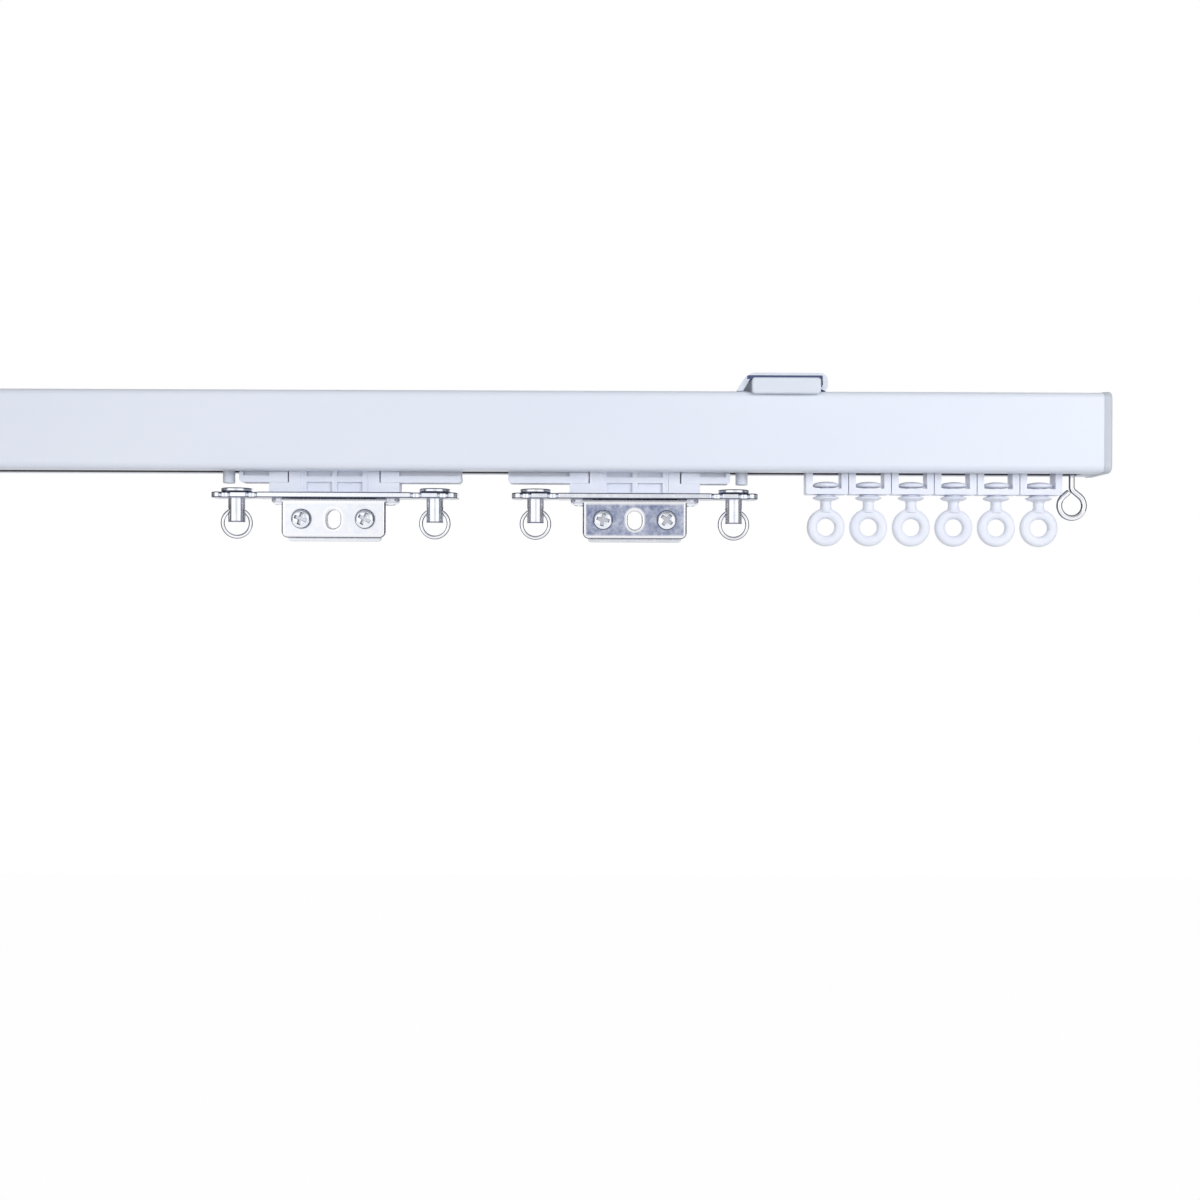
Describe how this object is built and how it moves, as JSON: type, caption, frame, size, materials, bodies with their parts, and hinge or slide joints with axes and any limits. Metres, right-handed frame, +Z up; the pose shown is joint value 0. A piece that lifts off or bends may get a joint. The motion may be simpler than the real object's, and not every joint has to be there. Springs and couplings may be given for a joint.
{
  "type": "curtain track",
  "caption": "Ceiling-mounted box curtain track with latching clips, end caps, master carriers with swivelling pins and rings, swivelling eye gliders and eye-screw stops.",
  "frame": {"origin": "on the ceiling plane, midway between the two ceiling screws", "axes": "+X along the track, towards the end that the picture shows; -Y towards the room and the viewer; +Z up into the ceiling"},
  "size_m": [0.646, 0.0276, 0.0645],
  "materials": {
    "track_paint": "smooth white powder coat with a cool cast",
    "clip_paint": "white powder coat",
    "cap_plastic": "satin light grey moulding",
    "white_plastic": "satin white moulding",
    "eye_plastic": "satin white acetal moulding",
    "roller_plastic": "plain white acetal",
    "zinc_plate": "blue-passivated zinc plate, faintly mottled",
    "nickel_steel": "nickel-plated steel with rounded stamped edges",
    "bright_wire": "bright nickel plate"
  },
  "bodies": {
    "track": {"track_profile": "track_paint", "end_cap_left": "cap_plastic", "end_cap_right": "cap_plastic", "stop_eye_left": "bright_wire", "stop_eye_right": "bright_wire", "stop_nuts": "zinc_plate", "clip_rivets": "zinc_plate", "clip_plate_left": "clip_paint", "clip_plate_right": "clip_paint"},
    "left_latch": {"clip_latch_left": "clip_paint"},
    "right_latch": {"clip_latch_right": "clip_paint"},
    "left_carrier": {"left_carrier_body": "white_plastic", "left_carrier_inner_shoe": "white_plastic", "left_carrier_outer_shoe": "white_plastic", "left_carrier_peg": "white_plastic", "left_carrier_hook_plate": "nickel_steel", "left_carrier_bracket": "zinc_plate", "left_carrier_rear_plate": "zinc_plate", "left_carrier_clamp_screws": "bright_wire", "left_carrier_fixing_screws": "bright_wire"},
    "left_inner_pin": {"left_carrier_inner_pin": "nickel_steel"},
    "left_inner_ring": {"left_carrier_inner_ring": "bright_wire"},
    "left_inner_rollers": {"left_carrier_inner_rollers": "roller_plastic"},
    "left_outer_pin": {"left_carrier_outer_pin": "nickel_steel"},
    "left_outer_ring": {"left_carrier_outer_ring": "bright_wire"},
    "left_outer_rollers": {"left_carrier_outer_rollers": "roller_plastic"},
    "right_carrier": {"right_carrier_body": "white_plastic", "right_carrier_inner_shoe": "white_plastic", "right_carrier_outer_shoe": "white_plastic", "right_carrier_peg": "white_plastic", "right_carrier_hook_plate": "nickel_steel", "right_carrier_bracket": "zinc_plate", "right_carrier_rear_plate": "zinc_plate", "right_carrier_clamp_screws": "bright_wire", "right_carrier_fixing_screws": "bright_wire"},
    "right_inner_pin": {"right_carrier_inner_pin": "nickel_steel"},
    "right_inner_ring": {"right_carrier_inner_ring": "bright_wire"},
    "right_inner_rollers": {"right_carrier_inner_rollers": "roller_plastic"},
    "right_outer_pin": {"right_carrier_outer_pin": "nickel_steel"},
    "right_outer_ring": {"right_carrier_outer_ring": "bright_wire"},
    "right_outer_rollers": {"right_carrier_outer_rollers": "roller_plastic"},
    "glider_6": {"glider_6_carriage": "white_plastic"},
    "glider_6_eye": {"glider_6_eye": "eye_plastic"},
    "glider_6_rollers": {"glider_6_rollers": "roller_plastic"},
    "glider_5": {"glider_5_carriage": "white_plastic"},
    "glider_5_eye": {"glider_5_eye": "eye_plastic"},
    "glider_5_rollers": {"glider_5_rollers": "roller_plastic"},
    "glider_4": {"glider_4_carriage": "white_plastic"},
    "glider_4_eye": {"glider_4_eye": "eye_plastic"},
    "glider_4_rollers": {"glider_4_rollers": "roller_plastic"},
    "glider_3": {"glider_3_carriage": "white_plastic"},
    "glider_3_eye": {"glider_3_eye": "eye_plastic"},
    "glider_3_rollers": {"glider_3_rollers": "roller_plastic"},
    "glider_2": {"glider_2_carriage": "white_plastic"},
    "glider_2_eye": {"glider_2_eye": "eye_plastic"},
    "glider_2_rollers": {"glider_2_rollers": "roller_plastic"},
    "glider_1": {"glider_1_carriage": "white_plastic"},
    "glider_1_eye": {"glider_1_eye": "eye_plastic"},
    "glider_1_rollers": {"glider_1_rollers": "roller_plastic"}
  },
  "joints": [
    {"name": "left_latch_pull", "type": "slide", "parent": "track", "child": "left_latch", "axis": [0, -1, 0], "range_m": [0, 0.0032]},
    {"name": "right_latch_pull", "type": "slide", "parent": "track", "child": "right_latch", "axis": [0, -1, 0], "range_m": [0, 0.0032]},
    {"name": "left_carrier_slide", "type": "slide", "parent": "track", "child": "left_carrier", "axis": [1, 0, 0], "range_m": [-0.289, 0.0087]},
    {"name": "left_inner_pin_swivel", "type": "hinge", "parent": "left_carrier", "child": "left_inner_pin", "pos_m": [0.0691, 0, -0.0449], "axis": [0, 0, 1], "continuous": true},
    {"name": "left_inner_ring_swing", "type": "hinge", "parent": "left_inner_pin", "child": "left_inner_ring", "pos_m": [0.0691, 0, -0.05181], "axis": [1, 0, 0], "range_deg": [-80, 80]},
    {"name": "left_inner_rollers_spin", "type": "hinge", "parent": "left_carrier", "child": "left_inner_rollers", "pos_m": [0.0614, 0, -0.02985], "axis": [0, 1, 0], "continuous": true},
    {"name": "left_outer_pin_swivel", "type": "hinge", "parent": "left_carrier", "child": "left_outer_pin", "pos_m": [-0.0063, 0, -0.0449], "axis": [0, 0, 1], "continuous": true},
    {"name": "left_outer_ring_swing", "type": "hinge", "parent": "left_outer_pin", "child": "left_outer_ring", "pos_m": [-0.0063, 0, -0.05181], "axis": [0.9397, 0.342, 0], "range_deg": [-80, 80]},
    {"name": "left_outer_rollers_spin", "type": "hinge", "parent": "left_carrier", "child": "left_outer_rollers", "pos_m": [0.0014, 0, -0.02985], "axis": [0, 1, 0], "continuous": true},
    {"name": "right_carrier_slide", "type": "slide", "parent": "track", "child": "right_carrier", "axis": [1, 0, 0], "range_m": [-0.0087, 0.0176]},
    {"name": "right_inner_pin_swivel", "type": "hinge", "parent": "right_carrier", "child": "right_inner_pin", "pos_m": [0.1074, 0, -0.0449], "axis": [0, 0, 1], "continuous": true},
    {"name": "right_inner_ring_swing", "type": "hinge", "parent": "right_inner_pin", "child": "right_inner_ring", "pos_m": [0.1074, 0, -0.05181], "axis": [1, 0, 0], "range_deg": [-80, 80]},
    {"name": "right_inner_rollers_spin", "type": "hinge", "parent": "right_carrier", "child": "right_inner_rollers", "pos_m": [0.1151, 0, -0.02985], "axis": [0, 1, 0], "continuous": true},
    {"name": "right_outer_pin_swivel", "type": "hinge", "parent": "right_carrier", "child": "right_outer_pin", "pos_m": [0.1828, 0, -0.0449], "axis": [0, 0, 1], "continuous": true},
    {"name": "right_outer_ring_swing", "type": "hinge", "parent": "right_outer_pin", "child": "right_outer_ring", "pos_m": [0.1828, 0, -0.05181], "axis": [1, 0, 0], "range_deg": [-80, 80]},
    {"name": "right_outer_rollers_spin", "type": "hinge", "parent": "right_carrier", "child": "right_outer_rollers", "pos_m": [0.1751, 0, -0.02985], "axis": [0, 1, 0], "continuous": true},
    {"name": "glider_6_slide", "type": "slide", "parent": "track", "child": "glider_6", "axis": [1, 0, 0], "range_m": [-0.0043, 0]},
    {"name": "glider_6_eye_swivel", "type": "hinge", "parent": "glider_6", "child": "glider_6_eye", "pos_m": [0.2989, 0, -0.0449], "axis": [0, 0, 1], "continuous": true},
    {"name": "glider_6_rollers_spin", "type": "hinge", "parent": "glider_6", "child": "glider_6_rollers", "pos_m": [0.2989, 0, -0.03085], "axis": [0, 1, 0], "continuous": true},
    {"name": "glider_5_slide", "type": "slide", "parent": "glider_6", "child": "glider_5", "axis": [1, 0, 0], "range_m": [-0.0043, 0]},
    {"name": "glider_5_eye_swivel", "type": "hinge", "parent": "glider_5", "child": "glider_5_eye", "pos_m": [0.2827, 0, -0.0449], "axis": [0, 0, 1], "continuous": true},
    {"name": "glider_5_rollers_spin", "type": "hinge", "parent": "glider_5", "child": "glider_5_rollers", "pos_m": [0.2827, 0, -0.03085], "axis": [0, 1, 0], "continuous": true},
    {"name": "glider_4_slide", "type": "slide", "parent": "glider_5", "child": "glider_4", "axis": [1, 0, 0], "range_m": [-0.0043, 0]},
    {"name": "glider_4_eye_swivel", "type": "hinge", "parent": "glider_4", "child": "glider_4_eye", "pos_m": [0.2665, 0, -0.0449], "axis": [0, 0, 1], "continuous": true},
    {"name": "glider_4_rollers_spin", "type": "hinge", "parent": "glider_4", "child": "glider_4_rollers", "pos_m": [0.2665, 0, -0.03085], "axis": [0, 1, 0], "continuous": true},
    {"name": "glider_3_slide", "type": "slide", "parent": "glider_4", "child": "glider_3", "axis": [1, 0, 0], "range_m": [-0.0043, 0]},
    {"name": "glider_3_eye_swivel", "type": "hinge", "parent": "glider_3", "child": "glider_3_eye", "pos_m": [0.2503, 0, -0.0449], "axis": [0, 0, 1], "continuous": true},
    {"name": "glider_3_rollers_spin", "type": "hinge", "parent": "glider_3", "child": "glider_3_rollers", "pos_m": [0.2503, 0, -0.03085], "axis": [0, 1, 0], "continuous": true},
    {"name": "glider_2_slide", "type": "slide", "parent": "glider_3", "child": "glider_2", "axis": [1, 0, 0], "range_m": [-0.0043, 0]},
    {"name": "glider_2_eye_swivel", "type": "hinge", "parent": "glider_2", "child": "glider_2_eye", "pos_m": [0.2341, 0, -0.0449], "axis": [0, 0, 1], "continuous": true},
    {"name": "glider_2_rollers_spin", "type": "hinge", "parent": "glider_2", "child": "glider_2_rollers", "pos_m": [0.2341, 0, -0.03085], "axis": [0, 1, 0], "continuous": true},
    {"name": "glider_1_slide", "type": "slide", "parent": "glider_2", "child": "glider_1", "axis": [1, 0, 0], "range_m": [-0.0043, 0]},
    {"name": "glider_1_eye_swivel", "type": "hinge", "parent": "glider_1", "child": "glider_1_eye", "pos_m": [0.2179, 0, -0.0449], "axis": [0, 0, 1], "continuous": true},
    {"name": "glider_1_rollers_spin", "type": "hinge", "parent": "glider_1", "child": "glider_1_rollers", "pos_m": [0.2179, 0, -0.03085], "axis": [0, 1, 0], "continuous": true}
  ],
  "couplings": [
    {"joint": "left_inner_rollers_spin", "follows": "left_carrier_slide", "rad_per_m": 181.82},
    {"joint": "left_outer_rollers_spin", "follows": "left_carrier_slide", "rad_per_m": 181.82},
    {"joint": "right_inner_rollers_spin", "follows": "right_carrier_slide", "rad_per_m": 181.82},
    {"joint": "right_outer_rollers_spin", "follows": "right_carrier_slide", "rad_per_m": 181.82},
    {"joint": "glider_6_rollers_spin", "follows": "glider_6_slide", "rad_per_m": 222.22},
    {"joint": "glider_5_rollers_spin", "follows": "glider_5_slide", "rad_per_m": 222.22},
    {"joint": "glider_4_rollers_spin", "follows": "glider_4_slide", "rad_per_m": 222.22},
    {"joint": "glider_3_rollers_spin", "follows": "glider_3_slide", "rad_per_m": 222.22},
    {"joint": "glider_2_rollers_spin", "follows": "glider_2_slide", "rad_per_m": 222.22},
    {"joint": "glider_1_rollers_spin", "follows": "glider_1_slide", "rad_per_m": 222.22}
  ]
}
